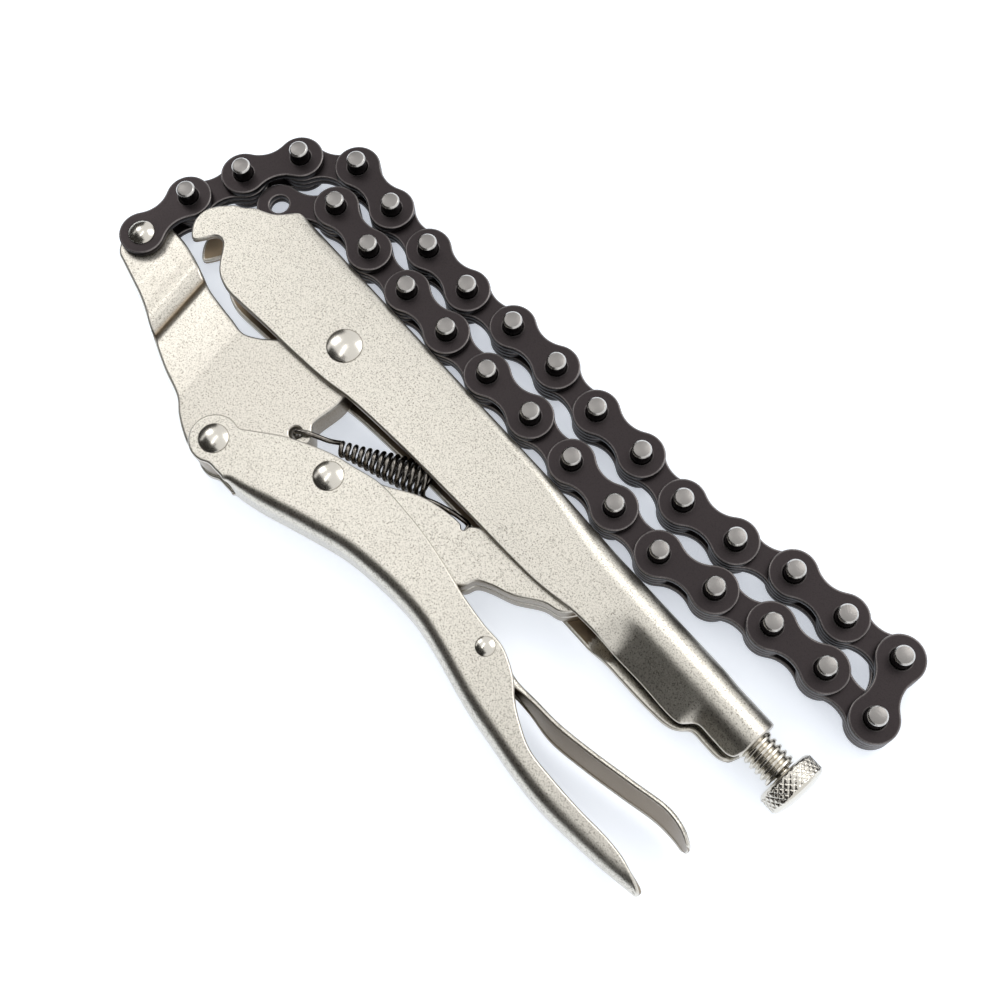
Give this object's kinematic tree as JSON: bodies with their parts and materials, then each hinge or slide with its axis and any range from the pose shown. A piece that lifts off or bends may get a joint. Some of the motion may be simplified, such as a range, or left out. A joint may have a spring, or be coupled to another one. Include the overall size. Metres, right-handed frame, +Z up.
{
  "type": "chain clamp",
  "caption": "locking pliers with a plate chain riveted to the jaw and folded along the handle; the chain's pins hook into a notched nose",
  "frame": {"origin": "centre of the footprint, on the surface that the clamp lies on", "axes": "+X along the main handle to the knob, +Y to the side where the chain lies, +Z up from the surface"},
  "size_m": [0.2304, 0.1012, 0.016],
  "materials": {
    "satin_nickel": "satin nickel plate over fine blasting",
    "bright_nickel": "bright nickel plate",
    "blackened_steel": "blackened plates with bright pin ends",
    "spring_steel": "oiled spring wire"
  },
  "bodies": {
    "main_handle": {"main_handle": "satin_nickel", "main_rivet": "bright_nickel"},
    "jaw": {"jaw": "satin_nickel", "chain_rivet": "bright_nickel", "spring": "spring_steel"},
    "lever": {"lever_handle": "satin_nickel", "lever_rivet": "bright_nickel", "link_rivet": "bright_nickel", "release_rivet": "bright_nickel"},
    "toggle_link": {"toggle_link_upper": "satin_nickel", "toggle_link_lower": "satin_nickel"},
    "release_lever": {"release_lever": "satin_nickel"},
    "adjusting_screw": {"adjusting_screw": "bright_nickel"},
    "screw_knob": {"screw_knob": "bright_nickel"},
    "outer_link_01": {"outer_link_01": "blackened_steel"},
    "inner_link_01": {"inner_link_01": "blackened_steel"},
    "outer_link_02": {"outer_link_02": "blackened_steel"},
    "inner_link_02": {"inner_link_02": "blackened_steel"},
    "outer_link_03": {"outer_link_03": "blackened_steel"},
    "inner_link_03": {"inner_link_03": "blackened_steel"},
    "outer_link_04": {"outer_link_04": "blackened_steel"},
    "inner_link_04": {"inner_link_04": "blackened_steel"},
    "outer_link_05": {"outer_link_05": "blackened_steel"},
    "inner_link_05": {"inner_link_05": "blackened_steel"},
    "outer_link_06": {"outer_link_06": "blackened_steel"},
    "inner_link_06": {"inner_link_06": "blackened_steel"},
    "outer_link_07": {"outer_link_07": "blackened_steel"},
    "inner_link_07": {"inner_link_07": "blackened_steel"},
    "outer_link_08": {"outer_link_08": "blackened_steel"},
    "inner_link_08": {"inner_link_08": "blackened_steel"},
    "outer_link_09": {"outer_link_09": "blackened_steel"},
    "inner_link_09": {"inner_link_09": "blackened_steel"},
    "outer_link_10": {"outer_link_10": "blackened_steel"},
    "inner_link_10": {"inner_link_10": "blackened_steel"},
    "outer_link_11": {"outer_link_11": "blackened_steel"},
    "inner_link_11": {"inner_link_11": "blackened_steel"},
    "outer_link_12": {"outer_link_12": "blackened_steel"},
    "inner_link_12": {"inner_link_12": "blackened_steel"},
    "outer_link_13": {"outer_link_13": "blackened_steel"},
    "inner_link_13": {"inner_link_13": "blackened_steel"},
    "outer_link_14": {"outer_link_14": "blackened_steel"},
    "inner_link_14": {"inner_link_14": "blackened_steel"},
    "outer_link_15": {"outer_link_15": "blackened_steel"},
    "inner_link_15": {"inner_link_15": "blackened_steel"}
  },
  "joints": [
    {"name": "jaw_pivot", "type": "hinge", "parent": "main_handle", "child": "jaw", "pos_m": [-0.04574, -0.00366, 0.008], "axis": [0, 0, 1], "range_deg": [0, 9], "deforming": ["spring"]},
    {"name": "lever_pivot", "type": "hinge", "parent": "jaw", "child": "lever", "pos_m": [-0.04794, -0.04396, 0.008], "axis": [0, 0, 1], "range_deg": [-45, 0]},
    {"name": "toggle_pivot", "type": "hinge", "parent": "lever", "child": "toggle_link", "pos_m": [-0.02104, -0.02866, 0.008], "axis": [0, 0, 1], "range_deg": [0, 51]},
    {"name": "release_pivot", "type": "hinge", "parent": "lever", "child": "release_lever", "pos_m": [0.03707, -0.02746, 0.008], "axis": [0, 0, 1], "range_deg": [-7, 0]},
    {"name": "screw_travel", "type": "slide", "parent": "main_handle", "child": "adjusting_screw", "axis": [1, 0, 0], "range_m": [0, 0.012]},
    {"name": "knob_turn", "type": "hinge", "parent": "adjusting_screw", "child": "screw_knob", "pos_m": [0.09496, 0.00544, 0.008], "axis": [1, 0, 0], "range_deg": [0, 2469.6]},
    {"name": "chain_hinge_01", "type": "hinge", "parent": "jaw", "child": "outer_link_01", "pos_m": [-0.10874, -0.02276, 0.008], "axis": [0, 0, 1], "range_deg": [0, 18]},
    {"name": "chain_hinge_02", "type": "hinge", "parent": "outer_link_01", "child": "inner_link_01", "pos_m": [-0.1091, -0.00689, 0.008], "axis": [0, 0, 1], "range_deg": [0, 60]},
    {"name": "chain_hinge_03", "type": "hinge", "parent": "inner_link_01", "child": "outer_link_02", "pos_m": [-0.1048, 0.00839, 0.008], "axis": [0, 0, 1], "range_deg": [0, 50]},
    {"name": "chain_hinge_04", "type": "hinge", "parent": "outer_link_02", "child": "inner_link_02", "pos_m": [-0.09847, 0.02295, 0.008], "axis": [0, 0, 1], "range_deg": [0, 8]},
    {"name": "chain_hinge_05", "type": "hinge", "parent": "inner_link_02", "child": "outer_link_03", "pos_m": [-0.08579, 0.03251, 0.008], "axis": [0, 0, 1], "range_deg": [0, 4]},
    {"name": "chain_hinge_06", "type": "hinge", "parent": "outer_link_03", "child": "inner_link_03", "pos_m": [-0.06997, 0.03124, 0.008], "axis": [0, 0, 1], "range_deg": [0, 2]},
    {"name": "chain_hinge_07", "type": "hinge", "parent": "inner_link_03", "child": "outer_link_04", "pos_m": [-0.0541, 0.03076, 0.008], "axis": [0, 0, 1], "range_deg": [-2, 4]},
    {"name": "chain_hinge_08", "type": "hinge", "parent": "outer_link_04", "child": "inner_link_04", "pos_m": [-0.03823, 0.0306, 0.008], "axis": [0, 0, -1], "range_deg": [-2, 0]},
    {"name": "chain_hinge_09", "type": "hinge", "parent": "inner_link_04", "child": "outer_link_05", "pos_m": [-0.02249, 0.03267, 0.008], "axis": [0, 0, -1], "range_deg": [-4, 2]},
    {"name": "chain_hinge_10", "type": "hinge", "parent": "outer_link_05", "child": "inner_link_05", "pos_m": [-0.00663, 0.03346, 0.008], "axis": [0, 0, 1], "range_deg": [0, 2]},
    {"name": "chain_hinge_11", "type": "hinge", "parent": "inner_link_05", "child": "outer_link_06", "pos_m": [0.00923, 0.03283, 0.008], "axis": [0, 0, 1], "range_deg": [-2, 4]},
    {"name": "chain_hinge_12", "type": "hinge", "parent": "outer_link_06", "child": "inner_link_06", "pos_m": [0.02509, 0.03346, 0.008], "axis": [0, 0, -1], "range_deg": [-2, 0]},
    {"name": "chain_hinge_13", "type": "hinge", "parent": "inner_link_06", "child": "outer_link_07", "pos_m": [0.04095, 0.03267, 0.008], "axis": [0, 0, -1], "range_deg": [-4, 2]},
    {"name": "chain_hinge_14", "type": "hinge", "parent": "outer_link_07", "child": "inner_link_07", "pos_m": [0.05659, 0.03537, 0.008], "axis": [0, 0, 1], "range_deg": [0, 2]},
    {"name": "chain_hinge_15", "type": "hinge", "parent": "inner_link_07", "child": "outer_link_08", "pos_m": [0.07168, 0.04029, 0.008], "axis": [0, 0, 1], "range_deg": [-2, 4]},
    {"name": "chain_hinge_16", "type": "hinge", "parent": "outer_link_08", "child": "inner_link_08", "pos_m": [0.0875, 0.04172, 0.008], "axis": [0, 0, -1], "range_deg": [-2, 0]},
    {"name": "chain_hinge_17", "type": "hinge", "parent": "inner_link_08", "child": "outer_link_09", "pos_m": [0.10314, 0.04441, 0.008], "axis": [0, 0, -1], "range_deg": [-4, 2]},
    {"name": "chain_hinge_18", "type": "hinge", "parent": "outer_link_09", "child": "inner_link_09", "pos_m": [0.10906, 0.02968, 0.008], "axis": [0, 0, -1], "range_deg": [-0.098, 0.379]},
    {"name": "chain_hinge_19", "type": "hinge", "parent": "inner_link_09", "child": "outer_link_10", "pos_m": [0.09319, 0.02937, 0.008], "axis": [0, 0, -1], "range_deg": [-3.72, 7.44]},
    {"name": "chain_hinge_20", "type": "hinge", "parent": "outer_link_10", "child": "inner_link_10", "pos_m": [0.07745, 0.0273, 0.008], "axis": [0, 0, 1], "range_deg": [-0.522, 0.261]},
    {"name": "chain_hinge_21", "type": "hinge", "parent": "inner_link_10", "child": "outer_link_11", "pos_m": [0.06212, 0.02318, 0.008], "axis": [0, 0, 1], "range_deg": [-7.48, 3.74]},
    {"name": "chain_hinge_22", "type": "hinge", "parent": "outer_link_11", "child": "inner_link_11", "pos_m": [0.04671, 0.01937, 0.008], "axis": [0, 0, -1], "range_deg": [-0.301, 0.602]},
    {"name": "chain_hinge_23", "type": "hinge", "parent": "inner_link_11", "child": "outer_link_12", "pos_m": [0.03084, 0.01921, 0.008], "axis": [0, 0, -1], "range_deg": [-3.7, 7.4]},
    {"name": "chain_hinge_24", "type": "hinge", "parent": "outer_link_12", "child": "inner_link_12", "pos_m": [0.01496, 0.01937, 0.008], "axis": [0, 0, 1], "range_deg": [-0.602, 0.301]},
    {"name": "chain_hinge_25", "type": "hinge", "parent": "inner_link_12", "child": "outer_link_13", "pos_m": [-0.00091, 0.01968, 0.008], "axis": [0, 0, 1], "range_deg": [-7.4, 3.7]},
    {"name": "chain_hinge_26", "type": "hinge", "parent": "outer_link_13", "child": "inner_link_13", "pos_m": [-0.01677, 0.01905, 0.008], "axis": [0, 0, -1], "range_deg": [-0.321, 0.642]},
    {"name": "chain_hinge_27", "type": "hinge", "parent": "inner_link_13", "child": "outer_link_14", "pos_m": [-0.03265, 0.01889, 0.008], "axis": [0, 0, -1], "range_deg": [-3.68, 7.36]},
    {"name": "chain_hinge_28", "type": "hinge", "parent": "outer_link_14", "child": "inner_link_14", "pos_m": [-0.04852, 0.01889, 0.008], "axis": [0, 0, 1], "range_deg": [-0.68, 0.34]},
    {"name": "chain_hinge_29", "type": "hinge", "parent": "inner_link_14", "child": "outer_link_15", "pos_m": [-0.0644, 0.01905, 0.008], "axis": [0, 0, 1], "range_deg": [-7.32, 3.66]},
    {"name": "chain_hinge_30", "type": "hinge", "parent": "outer_link_15", "child": "inner_link_15", "pos_m": [-0.08019, 0.02064, 0.008], "axis": [0, 0, 1], "range_deg": [0, 12]}
  ],
  "couplings": [
    {"joint": "lever_pivot", "follows": "jaw_pivot", "ratio": -5},
    {"joint": "toggle_pivot", "follows": "jaw_pivot", "ratio": 5.6667},
    {"joint": "chain_hinge_01", "follows": "jaw_pivot", "ratio": 2},
    {"joint": "knob_turn", "follows": "screw_travel", "rad_per_m": 3590.4},
    {"joint": "chain_hinge_07", "follows": "chain_hinge_06", "ratio": 1},
    {"joint": "chain_hinge_09", "follows": "chain_hinge_08", "ratio": 1},
    {"joint": "chain_hinge_11", "follows": "chain_hinge_10", "ratio": 1},
    {"joint": "chain_hinge_13", "follows": "chain_hinge_12", "ratio": 1},
    {"joint": "chain_hinge_15", "follows": "chain_hinge_14", "ratio": 1},
    {"joint": "chain_hinge_17", "follows": "chain_hinge_16", "ratio": 1},
    {"joint": "chain_hinge_18", "follows": "chain_hinge_16", "ratio": -0.14},
    {"joint": "chain_hinge_19", "follows": "chain_hinge_16", "ratio": -1.86},
    {"joint": "chain_hinge_20", "follows": "chain_hinge_14", "ratio": -0.13},
    {"joint": "chain_hinge_21", "follows": "chain_hinge_14", "ratio": -1.87},
    {"joint": "chain_hinge_22", "follows": "chain_hinge_12", "ratio": -0.15},
    {"joint": "chain_hinge_23", "follows": "chain_hinge_12", "ratio": -1.85},
    {"joint": "chain_hinge_24", "follows": "chain_hinge_10", "ratio": -0.15},
    {"joint": "chain_hinge_25", "follows": "chain_hinge_10", "ratio": -1.85},
    {"joint": "chain_hinge_26", "follows": "chain_hinge_08", "ratio": -0.16},
    {"joint": "chain_hinge_27", "follows": "chain_hinge_08", "ratio": -1.84},
    {"joint": "chain_hinge_28", "follows": "chain_hinge_06", "ratio": -0.17},
    {"joint": "chain_hinge_29", "follows": "chain_hinge_06", "ratio": -1.83}
  ]
}
